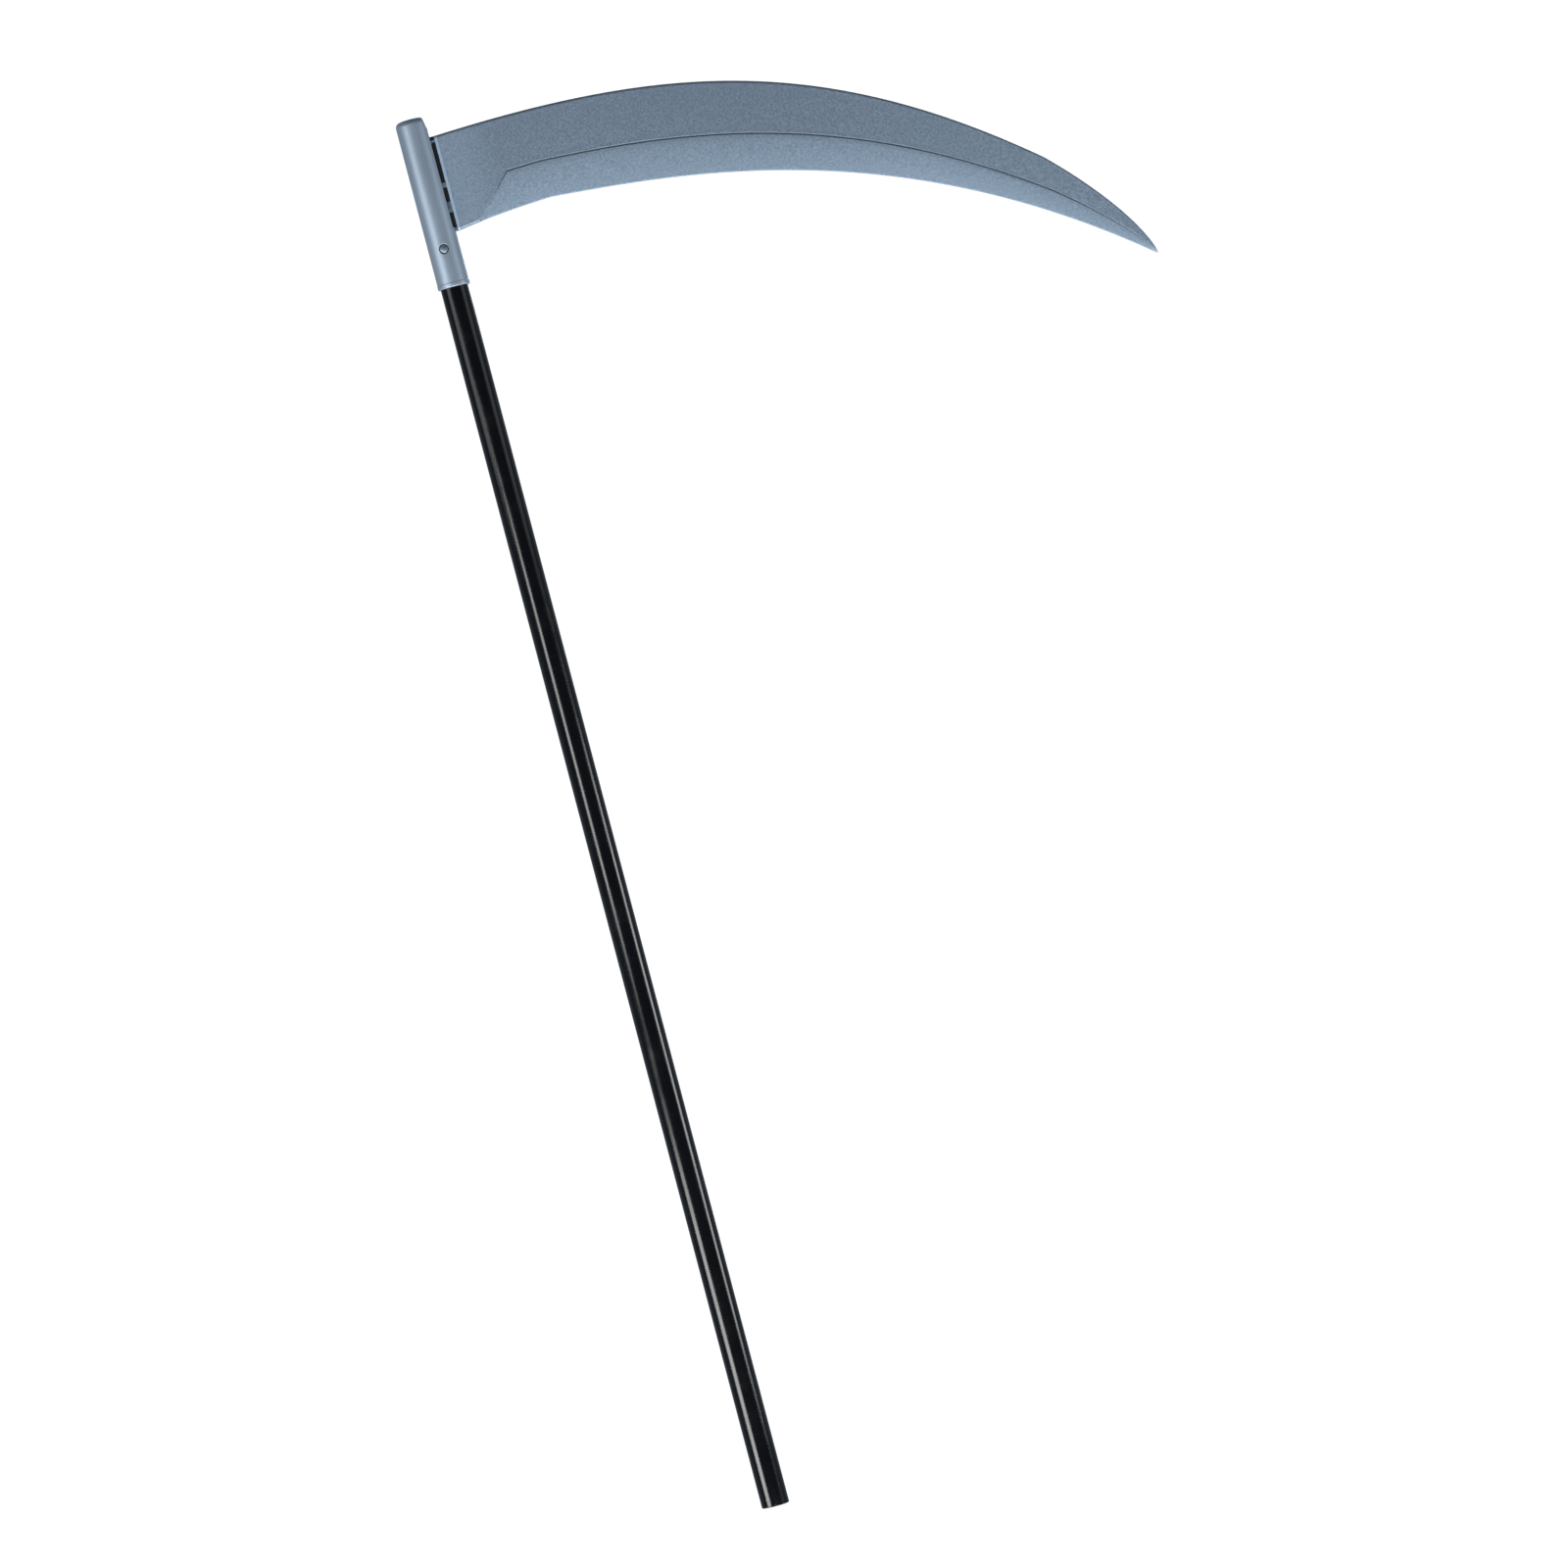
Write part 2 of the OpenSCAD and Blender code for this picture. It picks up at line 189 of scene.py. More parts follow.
def rounded(corners, steps=5):
    """A closed outline from (a, b, fillet radius) corners, with each fillet as an arc."""
    out = []
    count = len(corners)
    for i, (a, b, radius) in enumerate(corners):
        here = Vector((a, b))
        if radius <= 0:
            out.append(here)
            continue
        to_last = (Vector(corners[i - 1][:2]) - here).normalized()
        to_next = (Vector(corners[(i + 1) % count][:2]) - here).normalized()
        half = to_last.angle(to_next) / 2
        reach = radius / math.tan(half)
        centre = here + (to_last + to_next).normalized() * radius / math.sin(half)
        first = here + to_last * reach - centre
        turn = first.angle_signed(here + to_next * reach - centre)
        for k in range(steps + 1):
            angle = -turn * k / steps
            c, s = math.cos(angle), math.sin(angle)
            out.append(centre + Vector((first.x * c - first.y * s, first.x * s + first.y * c)))
    return out


def axis_matrix(origin, direction):
    """Carries +Z to the direction and the zero point to the origin, in millimetres."""
    turn = Vector(UP).rotation_difference(Vector(direction)).to_matrix().to_4x4()
    return Matrix.Translation(Vector(origin)) @ turn


def lathe(name, corners, origin=(0, 0, 0), direction=UP, segments=128, steps=5):
    """A solid of revolution from a closed (radius, height, fillet) outline."""
    outline = rounded(corners, steps)
    place = axis_matrix(origin, direction)
    points, rings = [], []
    for r, h in outline:
        if r < 1e-6:
            rings.append([len(points)])
            points.append(place @ Vector((0, 0, h)))
            continue
        rings.append(list(range(len(points), len(points) + segments)))
        for k in range(segments):
            a = math.tau * k / segments
            points.append(place @ Vector((r * math.cos(a), r * math.sin(a), h)))
    faces = []
    for i, ring in enumerate(rings):
        other = rings[(i + 1) % len(rings)]
        for k in range(segments):
            n = (k + 1) % segments
            if len(ring) > 1 and len(other) > 1:
                faces.append((ring[k], ring[n], other[n], other[k]))
            elif len(ring) > 1:
                faces.append((ring[k], ring[n], other[0]))
            elif len(other) > 1:
                faces.append((ring[0], other[n], other[k]))
    return new_piece(name, points, faces)


def block(name, low, high, round_off=0.2):
    """A box with bevelled edges, from its lowest to its highest corner."""
    bm = bmesh.new()
    bmesh.ops.create_cube(bm, size=1)
    size, middle = Vector(high) - Vector(low), (Vector(high) + Vector(low)) / 2
    for v in bm.verts:
        v.co = Vector(v.co[i] * size[i] for i in range(3)) + middle
    if round_off > 0:
        edges = list(bm.edges)
        bmesh.ops.bevel(bm, geom=edges, offset=round_off, segments=3, affect="EDGES", profile=0.5)
    bmesh.ops.scale(bm, vec=(MM, MM, MM), verts=bm.verts)
    return from_bmesh(name, bm)


def join(name, objs):
    """Several separate closed meshes as one object."""
    bm = bmesh.new()
    for o in objs:
        bm.from_mesh(o.data)
        bpy.data.objects.remove(o)
    return from_bmesh(name, bm)


def carve(obj, tool, operation="DIFFERENCE"):
    """Cuts the tool from the piece, or joins it on, and removes the tool."""
    mod = obj.modifiers.new("carve", "BOOLEAN")
    mod.object = tool
    mod.operation = operation
    mod.solver = "EXACT"
    depsgraph = bpy.context.evaluated_depsgraph_get()
    mesh = bpy.data.meshes.new_from_object(obj.evaluated_get(depsgraph))
    obj.modifiers.clear()
    obj.data = mesh
    bpy.data.objects.remove(tool)
    return obj


# ---------------------------------------------------------------- shader helpers

class Shader:
    """A new material with a Principled shader and short calls for the nodes that feed it."""

    def __init__(self, name, colour, roughness, metallic=0.0):
        self.material = bpy.data.materials.new(name)
        self.material.use_nodes = True
        self.tree = self.material.node_tree
        self.bsdf = self.tree.nodes["Principled BSDF"]
        self.bsdf.inputs["Base Color"].default_value = (*colour, 1)
        self.bsdf.inputs["Roughness"].default_value = roughness
        self.bsdf.inputs["Metallic"].default_value = metallic

    def node(self, kind, **settings):
        made = self.tree.nodes.new(kind)
        for key, value in settings.items():
            setattr(made, key, value)
        return made

    def link(self, source, target):
        self.tree.links.new(source, target)

    def place(self, scale=(1, 1, 1)):
        """The piece's own coordinates, stretched."""
        coord = self.node("ShaderNodeTexCoord")
        mapping = self.node("ShaderNodeMapping")
        mapping.inputs["Scale"].default_value = scale
        self.link(coord.outputs["Object"], mapping.inputs["Vector"])
        return mapping.outputs["Vector"]

    def noise(self, scale, detail=3.0, stretch=(1, 1, 1), roughness=0.5):
        made = self.node("ShaderNodeTexNoise")
        made.inputs["Scale"].default_value = scale
        made.inputs["Detail"].default_value = detail
        made.inputs["Roughness"].default_value = roughness
        self.link(self.place(stretch), made.inputs["Vector"])
        return made.outputs["Fac"]

    def span(self, value, low, high, out_low, out_high):
        """Carries a value from one range to another, kept inside it."""
        made = self.node("ShaderNodeMapRange")
        made.inputs["From Min"].default_value = low
        made.inputs["From Max"].default_value = high
        made.inputs["To Min"].default_value = out_low
        made.inputs["To Max"].default_value = out_high
        self.link(value, made.inputs["Value"])
        return made.outputs["Result"]

    def mix(self, factor, first, second):
        """Two colours mixed by a factor; each is a socket or a plain colour."""
        made = self.node("ShaderNodeMix", data_type="RGBA")
        self.link(factor, made.inputs["Factor"])
        for socket, value in ((made.inputs[6], first), (made.inputs[7], second)):
            if isinstance(value, bpy.types.NodeSocket):
                self.link(value, socket)
            else:
                socket.default_value = (*value, 1)
        return made.outputs[2]

    def bump(self, height, distance, after=None):
        made = self.node("ShaderNodeBump")
        made.inputs["Distance"].default_value = distance
        made.inputs["Strength"].default_value = 1.0
        self.link(height, made.inputs["Height"])
        if after is not None:
            self.link(after, made.inputs["Normal"])
        return made.outputs["Normal"]

    def colour(self, socket):
        self.link(socket, self.bsdf.inputs["Base Color"])

    def roughness(self, socket):
        self.link(socket, self.bsdf.inputs["Roughness"])

    def normal(self, socket):
        self.link(socket, self.bsdf.inputs["Normal"])

    def attribute(self, name):
        made = self.node("ShaderNodeAttribute")
        made.attribute_name = name
        return made.outputs["Fac"]


def scaled(colour, k):
    return tuple(c * k for c in colour)


def pole_material():
    """Gloss black extruded tube with faint draw lines along it and a little dust."""
    s = Shader("pole_gloss_black", (0.002, 0.002, 0.003), 0.2)
    lines = s.noise(60, 2, stretch=(40, 40, 0.6))
    dust = s.noise(35, 6, roughness=0.7)
    s.roughness(s.span(dust, 0.35, 0.75, 0.14, 0.24))
    s.colour(s.mix(s.span(dust, 0.55, 0.8, 0, 1), (0.0018, 0.0018, 0.0025), (0.005, 0.005, 0.006)))
    s.normal(s.bump(lines, 0.000006))
    return s.material


def silver_material(name, colour, roughness):
    """Silver paint on moulded plastic: fine metal flakes under a thin clear film."""
    s = Shader(name, colour, roughness, metallic=0.65)
    flakes = s.noise(1800, 1)
    drift = s.noise(9, 4)
    base = s.mix(s.span(drift, 0.3, 0.7, 0, 1), scaled(colour, 0.94), scaled(colour, 1.05))
    s.colour(s.mix(s.span(flakes, 0.45, 0.8, 0, 0.5), base, scaled(colour, 1.25)))
    s.roughness(s.span(drift, 0.3, 0.7, roughness - 0.03, roughness + 0.04))
    orange_peel = s.noise(260, 2)
    s.normal(s.bump(flakes, 0.00002, after=s.bump(orange_peel, 0.00004)))
    return s.material


def blade_material():
    """Fine-grained satin silver with painted shade in the engraved line, paler on the raised root border,
    and with painted light on the bevel, near the root and towards the tip.
    """
    colour = (0.245, 0.32, 0.40)
    s = Shader("blade_grained_silver", colour, 0.5, metallic=0.55)
    grain = s.noise(620, 4, roughness=0.65)
    drift = s.noise(7, 5, roughness=0.6)
    base = s.mix(s.span(drift, 0.3, 0.7, 0, 1), scaled(colour, 0.95), scaled(colour, 1.04))
    speckle = s.mix(s.span(grain, 0.38, 0.64, 0, 1), scaled(colour, 0.72), scaled(colour, 1.3))
    mixed = s.mix(s.span(drift, 0.3, 0.7, 0.5, 0.8), base, speckle)
    # Painted light: the rim weight makes the raised root border paler and paints light on the bevel, near
    # the root and towards the tip.
    pale_border_and_painted_light = s.mix(s.attribute("rim"), mixed, scaled(colour, 1.9))
    # Painted shade: the engraved line is darkened towards a fifth of the colour.
    s.colour(s.mix(s.attribute("groove_shade"), pale_border_and_painted_light, scaled(colour, 0.2)))
    s.roughness(s.span(grain, 0.3, 0.7, 0.44, 0.58))
    s.normal(s.bump(grain, 0.00012))
    return s.material


def moulded_material(name, colour, roughness, grain_scale=900):
    """Plain moulded plastic with a fine spark-eroded grain."""
    s = Shader(name, colour, roughness)
    grain = s.noise(grain_scale, 3)
    s.roughness(s.span(grain, 0.3, 0.7, roughness - 0.06, roughness + 0.06))
    s.colour(s.mix(s.span(grain, 0.3, 0.7, 0, 1), scaled(colour, 0.85), scaled(colour, 1.15)))
    s.normal(s.bump(grain, 0.00003))
    return s.material


def steel_material(name, colour, roughness, stretch):
    """Plated or rolled steel with fine lines in one direction."""
    s = Shader(name, colour, roughness, metallic=1.0)
    lines = s.noise(500, 3, stretch=stretch)
    s.roughness(s.span(lines, 0.3, 0.7, roughness - 0.07, roughness + 0.08))
    s.colour(s.mix(s.span(lines, 0.3, 0.7, 0, 1), scaled(colour, 0.85), scaled(colour, 1.1)))
    s.normal(s.bump(lines, 0.00001))
    return s.material


MATERIALS = {
    "pole_black": pole_material(),
    "head_silver": silver_material("head_satin_silver", (0.385, 0.47, 0.555), 0.41),
    "blade_silver": blade_material(),
    "carrier_black": moulded_material("carrier_black", (0.006, 0.006, 0.008), 0.5),
    "coupler_white": moulded_material("coupler_white", (0.62, 0.62, 0.59), 0.4, 300),
    "steel": steel_material("zinc_plated_steel", (0.46, 0.48, 0.51), 0.34, (1, 1, 1)),
    "spring_steel": steel_material("rolled_spring_steel", (0.34, 0.35, 0.38), 0.3, (6, 1, 0.2)),
}

# The button's own finish, in the slot of the other steel
BUTTON_ZINC = steel_material("dull_zinc", (0.27, 0.33, 0.37), 0.5, (1, 1, 1))


def dress(obj, slot, sharp=32):
    """Gives a piece the material of a record slot and its smooth shading."""
    obj.data.materials.clear()
    obj.data.materials.append(MATERIALS[slot])
    finish_mesh(obj, sharp)


def stand_for(obj, node, body, slot, sharp=32):
    """A finished piece that replaces a CAD node and rides on its body."""
    dress(obj, slot, sharp)
    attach(obj, body)
    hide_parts(node)


# ---------------------------------------------------------------- the pole

def make_pole_section(node, body, hole=False):
    """A tube with slightly broken edges; the upper one has the button's hole."""
    z0, z1 = low_mm(node).z, high_mm(node).z
    wall = [(BORE_R, z0, 0.12), (POLE_R, z0, 0.12), (POLE_R, z1, 0.12), (BORE_R, z1, 0.12)]
    piece = lathe(node + "_tube", wall, segments=160, steps=3)
    if hole:
        r = BUTTON_R + RUN_GAP
        outside = POLE_R + 0.6
        shaft = [(0, 0, 0), (r, 0, 0), (r, POLE_R - 0.25, 0.4), (r + 0.6, outside, 0), (0, outside, 0)]
        carve(piece, lathe("hole", shaft, (0, 0, BUTTON_Z), FRONT, 64))
    stand_for(piece, node, body, "pole_black")


def make_coupler(node, body):
    """The inner tube: its glued half fills the section below, its free half has a lead-in."""
    z0, z1 = low_mm(node).z, high_mm(node).z
    joint_z = z1 - COUPLER_FREE
    glued, free = high_mm(node).x, BORE_R - RUN_GAP
    inner = BORE_R - COUPLER_WALL
    outline = [
        (inner, z0, 0.3),
        (glued, z0, 0.3),
        (glued, joint_z, 0),
        (free, joint_z, 0),
        (free, z1 - 2, 0.8),
        (BORE_R - 1, z1, 0.2),
        (inner, z1, 0.2),
    ]
    stand_for(lathe(node + "_tube", outline), node, body, "coupler_white")


def make_foot_plug():
    """A push-in cap: a thin lip flush with the tube and a hollow plug with two grip rings."""
    lip = low_mm("pole_lower").z
    top = high_mm("foot_plug").z
    plug = BORE_R - GLUE_GAP
    outline = [(0, 0, 0), (POLE_R - 0.6, 0, 0.25), (POLE_R, 0.45, 0.25), (POLE_R, lip, 0.05), (plug, lip, 0)]
    for ring_z in (lip + 4.5, lip + 9):
        outline += [(plug, ring_z - 1, 0.1), (plug - 0.35, ring_z - 0.6, 0.1)]
        outline += [(plug - 0.35, ring_z + 0.6, 0.1), (plug, ring_z + 1, 0.1)]
    outline += [(plug, top - 1.2, 0.3), (plug - 0.9, top, 0.2), (BORE_R - 2, top, 0.2)]
    outline += [(BORE_R - 2, lip + 1.5, 0.6), (0, lip + 1.5, 0)]
    stand_for(lathe("foot_plug_cap", outline, segments=160), "foot_plug", "lower_section", "pole_black")


# ---------------------------------------------------------------- the snap button

def make_button():
    """A domed steel button riveted through its spring."""
    leaf_out, leaf_in = LEAF_Y + LEAF_T / 2, LEAF_Y - LEAF_T / 2
    crown = BUTTON_TOP
    outline = [
        (0, leaf_in - 0.65, 0),
        (1.9, leaf_in - 0.65, 0.25),
        (2.2, leaf_in - 0.05, 0.1),
        (RIVET_R, leaf_in - 0.05, 0),
        (RIVET_R, leaf_out + 0.05, 0),
        (BUTTON_R, leaf_out + 0.05, 0.15),
        (BUTTON_R, crown - 0.7, 0.25),
    ]
    rise = 0.7
    dome = (BUTTON_R**2 + rise**2) / (2 * rise)
    for k in range(1, 9):
        r = BUTTON_R * (1 - k / 8)
        outline.append((r, crown - dome + math.sqrt(dome**2 - r**2), 0))
    piece = lathe("snap_button_rivet", outline, (0, 0, BUTTON_Z), FRONT, 96)
    stand_for(piece, "snap_button", "button", "steel", 40)
    piece.data.materials[0] = BUTTON_ZINC


def strip(name, path, width, thickness):
    """A leaf of spring steel along a path of (y, z) points."""
    points, faces = [], []
    for i, p in enumerate(path):
        before, after = Vector(path[max(i - 1, 0)]), Vector(path[min(i + 1, len(path) - 1)])
        along = (after - before).normalized()
        side = Vector((along.y, -along.x)) * thickness / 2
        for x, k in ((-1, -1), (1, -1), (1, 1), (-1, 1)):
            y, z = Vector(p) + side * k
            points.append((x * width / 2, y, z))
    for i in range(len(path) - 1):
        for k in range(4):
            a, b = i * 4 + k, i * 4 + (k + 1) % 4
            faces.append((a, b, b + 4, a + 4))
    faces += [(0, 1, 2, 3), tuple(len(points) - 4 + k for k in (3, 2, 1, 0))]
    piece = new_piece(name, points, faces)
    bm = bmesh.new()
    bm.from_mesh(piece.data)
    corners = [e for e in bm.edges if e.calc_face_angle(0) > 0.9]
    bmesh.ops.bevel(bm, geom=corners, offset=0.08 * MM, segments=2, affect="EDGES", profile=0.5)
    bm.to_mesh(piece.data)
    bm.free()
    return piece


def make_spring():
    """The U-shaped leaf: the back arm and bend stay in the pole; the front arm, with the rivet's hole, is a
    loose piece that is not attached to the button.
    """
    back = [(LEAF_Y, BUTTON_Z + 8 - 4 * k) for k in range(10)]
    turns = [math.pi * k / 24 for k in range(25)]
    bend = [(LEAF_Y * math.cos(a), BEND_Z - LEAF_Y * math.sin(a)) for a in turns]
    body = strip("snap_spring_back", back + bend, LEAF_W, LEAF_T)
    stand_for(body, "snap_spring", "head_section", "spring_steel")
    front = [(-LEAF_Y, BEND_Z + (BUTTON_Z + 5 - BEND_Z) * k / 24) for k in range(25)]
    arm = strip("snap_spring_front", front, LEAF_W, LEAF_T)
    hole_r = RIVET_R + 0.1
    hole = [(0, 0, 0), (hole_r, 0, 0), (hole_r, POLE_R, 0), (0, POLE_R, 0)]
    carve(arm, lathe("hole", hole, (0, 0, BUTTON_Z), FRONT, 48))
    dress(arm, "spring_steel")
    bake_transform(arm)
    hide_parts("snap_spring")


# ---------------------------------------------------------------- the head

def screw_shape(name, x, z, head_y, length):
    """A countersunk self-tapping screw pointing to the front, with a cross recess and thread rings."""
    neck = length - (SCREW_HEAD_R - SCREW_R)
    outline = [(0, length, 0), (SCREW_HEAD_R, length, 0.12), (SCREW_R, neck, 0.1)]
    pitch, depth = 1.0, 0.18
    turns = int((neck - 1.2) / pitch)
    for k in range(turns):
        top = neck - 0.4 - k * pitch
        outline += [(SCREW_R, top, 0), (SCREW_R - depth, top - pitch * 0.45, 0)]
    outline += [(SCREW_R - depth, 0.7, 0), (0, 0, 0)]
    screw = lathe(name, outline, (x, head_y - length, z), BACK, 48)
    arms = []
    for turn in (0.0, math.pi / 2):
        arm = block("recess", (-1.5, -0.9, -0.3), (1.5, 0.9, 0.3), 0.08)
        arm.data.transform(Matrix.Translation(Vector((x, head_y, z)) * MM) @ Matrix.Rotation(turn, 4, "Y"))
        arms.append(arm)
    for arm in arms:
        carve(screw, arm)
    return screw


def make_screws():
    blade = [screw_shape("s", x, ROOT_Z + h, HALF_T - 0.1, 5.0) for x, h in BLADE_SCREWS]
    stand_for(join("blade_screw_set", blade), "blade_screws", "head_section", "steel", 40)
    carrier = [screw_shape("s", 0, ROOT_Z + h, SOCKET_R - 0.15, 7.0) for h in CARRIER_SCREWS]
    stand_for(join("carrier_screw_set", carrier), "carrier_screws", "head_section", "steel", 40)


def countersink(x, z, face_y, through):
    """A cutter for a screw hole whose mouth faces the back."""
    depth = SCREW_HEAD_R - SCREW_R
    outline = [
        (0, -through, 0),
        (SCREW_HOLE_R, -through, 0),
        (SCREW_HOLE_R, -depth, 0),
        (SCREW_HEAD_R + 0.12, 0, 0.15),
        (SCREW_HEAD_R + 0.3, 0.8, 0),
        (0, 0.8, 0),
    ]
    return lathe("countersink", outline, (x, face_y, z), BACK, 48)


def make_socket():
    """The sleeve: a rolled rim at its mouth, the slot for the carrier, the button's window."""
    rim_out = high_mm("socket").y
    wall = [
        (SLEEVE_R, HEAD_Z, 0.4),
        (rim_out, HEAD_Z, 0.9),
        (rim_out, HEAD_Z + 3.2, 0.5),
        (SOCKET_R, HEAD_Z + 3.45, 0.3),
        (SOCKET_R, CAP_Z, 0.06),
        (SLEEVE_R, CAP_Z, 0.06),
    ]
    piece = lathe("socket_sleeve", wall, segments=192)
    flare = 0.35
    slot = block("slot", (2, -SLOT_HALF, SLOT_Z), (SOCKET_R + 3, SLOT_HALF, CAP_Z + 5), flare)
    carve(piece, slot)
    window = [
        (0, SLEEVE_R - 2, 0),
        (WINDOW_R, SLEEVE_R - 2, 0),
        (WINDOW_R, SOCKET_R - 0.75, 0.5),
        (WINDOW_R + 0.6, SOCKET_R - 0.1, 0.4),
        (WINDOW_R + 1.2, SOCKET_R + 0.6, 0),
        (0, SOCKET_R + 0.6, 0),
    ]
    carve(piece, lathe("window", window, (0, 0, BUTTON_Z), FRONT, 96))
    for h in CARRIER_SCREWS:
        carve(piece, countersink(0, ROOT_Z + h, SOCKET_R, 4))
    stand_for(piece, "socket", "head_section", "head_silver", 35)


def soft_min(a, b, k):
    """The smaller of two values, with a rounded changeover k wide."""
    h = max(0.0, min(1.0, 0.5 + 0.5 * (b - a) / k))
    return a * h + b * (1 - h) - k * h * (1 - h)


def make_cap():
    """The domed cap, leaning back over the slot, with its plug and the key that fills the slot's top."""
    cap_h = TOTAL_H - CAP_Z
    plug_z = low_mm("socket_cap").z
    lean = math.tan(math.radians(10))
    dome_r = 4.5
    outline = [(0, plug_z + 6, 0), (SLEEVE_R - 3, plug_z + 6, 0.5), (SLEEVE_R - 3, plug_z, 0.2)]
    plug_r = SLEEVE_R - GLUE_GAP
    outline += [(plug_r, plug_z, 0.3), (plug_r, CAP_Z, 0), (SOCKET_R, CAP_Z, 0.06)]
    wall_steps = 10
    for k in range(1, wall_steps):
        outline.append((SOCKET_R, CAP_Z + (cap_h - dome_r) * k / wall_steps, 0))
    for k in range(17):
        a = math.pi / 2 * k / 16
        outline.append((SOCKET_R - dome_r * (1 - math.cos(a)), TOTAL_H - dome_r * (1 - math.sin(a)), 0))
    for k in range(1, 8):
        outline.append(((SOCKET_R - dome_r) * (1 - k / 8), TOTAL_H, 0))
    outline.append((0, TOTAL_H, 0))
    piece = lathe("socket_cap_dome", outline, segments=192)
    for v in piece.data.vertices:
        z = v.co.z / MM
        if z >= CAP_Z - 0.01 and v.co.x > 0:
            v.co.x = soft_min(v.co.x / MM, FLAT_X - (z - CAP_Z) * lean, 0.9) * MM
    key = block("key", (4, -SLOT_HALF + 0.1, plug_z), (FLAT_X, SLOT_HALF - 0.1, CAP_Z + 0.5), 0.2)
    carve(piece, key, "UNION")
    stand_for(piece, "socket_cap", "head_section", "head_silver", 35)


def make_carrier():
    """The black carrier keeps its CAD shape; its moulded edges are rounded."""
    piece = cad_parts["blade_carrier"]
    weld = piece.modifiers.new("weld", "WELD")
    weld.merge_threshold = 0.00001
    bevel = piece.modifiers.new("soft edges", "BEVEL")
    bevel.width = 0.00018
    bevel.segments = 2
    bevel.limit_method = "ANGLE"
    bevel.angle_limit = math.radians(40)
    piece.data.materials.clear()
    piece.data.materials.append(MATERIALS["carrier_black"])


# ---------------------------------------------------------------- the blade

def on_curve(curve, t):
    """A point on a cubic curve."""
    k = ((1 - t) ** 3, 3 * (1 - t) ** 2 * t, 3 * (1 - t) * t**2, t**3)
    return sum(w * p[0] for w, p in zip(k, curve)), sum(w * p[1] for w, p in zip(k, curve))


def height_at(curve, x):
    """The curve's height above the root's corner at a distance x from the pole's axis."""
    low, high = 0.0, 1.0
    for _ in range(40):
        middle = (low + high) / 2
        if on_curve(curve, middle)[0] < x:
            low = middle
        else:
            high = middle
    return on_curve(curve, (low + high) / 2)[1]


def ramp(x, a, b):
    return min(1.0, max(0.0, (x - a) / (b - a)))


def smooth(t):
    t = min(1.0, max(0.0, t))
    return t * t * (3 - 2 * t)


def tip_scale(x):
    """Rounds the blunt tip off over its last stretch."""
    u = ramp(x, REACH - TIP_ROUND, REACH)
    return max(0.28, math.sqrt(1 - u * u))


def limits(x):
    """The heights of the lower edge and of the spine at x, measured from the foot."""
    low = height_at(EDGE_ROOT if x < EDGE_ARC[0][0] else EDGE_ARC, x)
    high = height_at(SPINE_ROOT if x < SPINE_TIP[0][0] else SPINE_TIP, x)
    middle, k = (low + high) / 2, tip_scale(x)
    return ROOT_Z + middle - (middle - low) * k, ROOT_Z + middle + (high - middle) * k


def flat_half(x):
    """Half the thickness of the flat zone, thinner towards the tip."""
    return HALF_T * (1 - 0.5 * ramp(x, 0.7 * REACH, REACH)) * tip_scale(x)


def rim_at(x):
    """How strongly the raised border at the root shows at x, from 0 to 1."""
    return smooth((x - ROOT_X) / 0.5) * (1 - smooth((x - ROOT_X - 1.9) / 0.7))


def painted_light_at(x, z, low, high):
    """How much painted light pales the blade at (x, z): on the downward-facing bevel, brighter towards its
    lower edge, near the root and towards the tip.
    """
    line, run = line_at(x, low, high)
    bevel = run * (1 - ramp(z, line - 1.2, line - 0.2)) * (0.1 + 0.16 * (1 - ramp(z, low, line)))
    return bevel + 0.2 * (1 - run) + 0.11 * ramp(x, 0.55 * REACH, 0.85 * REACH)


def line_at(x, low, high):
    """The height of the engraved line, and how far its slanting end has run."""
    run = min(1.0, (x - DIAG_START) / (DIAG_END - DIAG_START))
    return low + run * BEVEL_SHARE * (high - low), max(0.0, run)


def depth_at(x, z, low, high):
    """Distance of the outer face from the parting plane, before the edges are rounded."""
    flat = flat_half(x)
    line, run = line_at(x, low, high)
    span = BEVEL_SHARE * (high - low)
    edge = min(EDGE_HALF, flat * 0.8)
    u = ramp(z, low, low + span)
    bevel = edge + (flat - 0.15 - edge) * (u + 0.3 * u * (1 - u))
    crown = low + 0.6 * (high - low)
    flat -= 0.16 * run * ((z - crown) / (high - crown)) ** 2
    step = 0.4 + 0.5 * (1 - run)
    depth = bevel + (flat - bevel) * smooth((z - line + step) / (2 * step))
    fade = run * ramp(REACH - 4 - x, 0, 60) ** 0.5
    return depth - GROOVE_DEPTH * fade * math.exp(-(((z - line) / (GROOVE_HALF * 0.6)) ** 2))


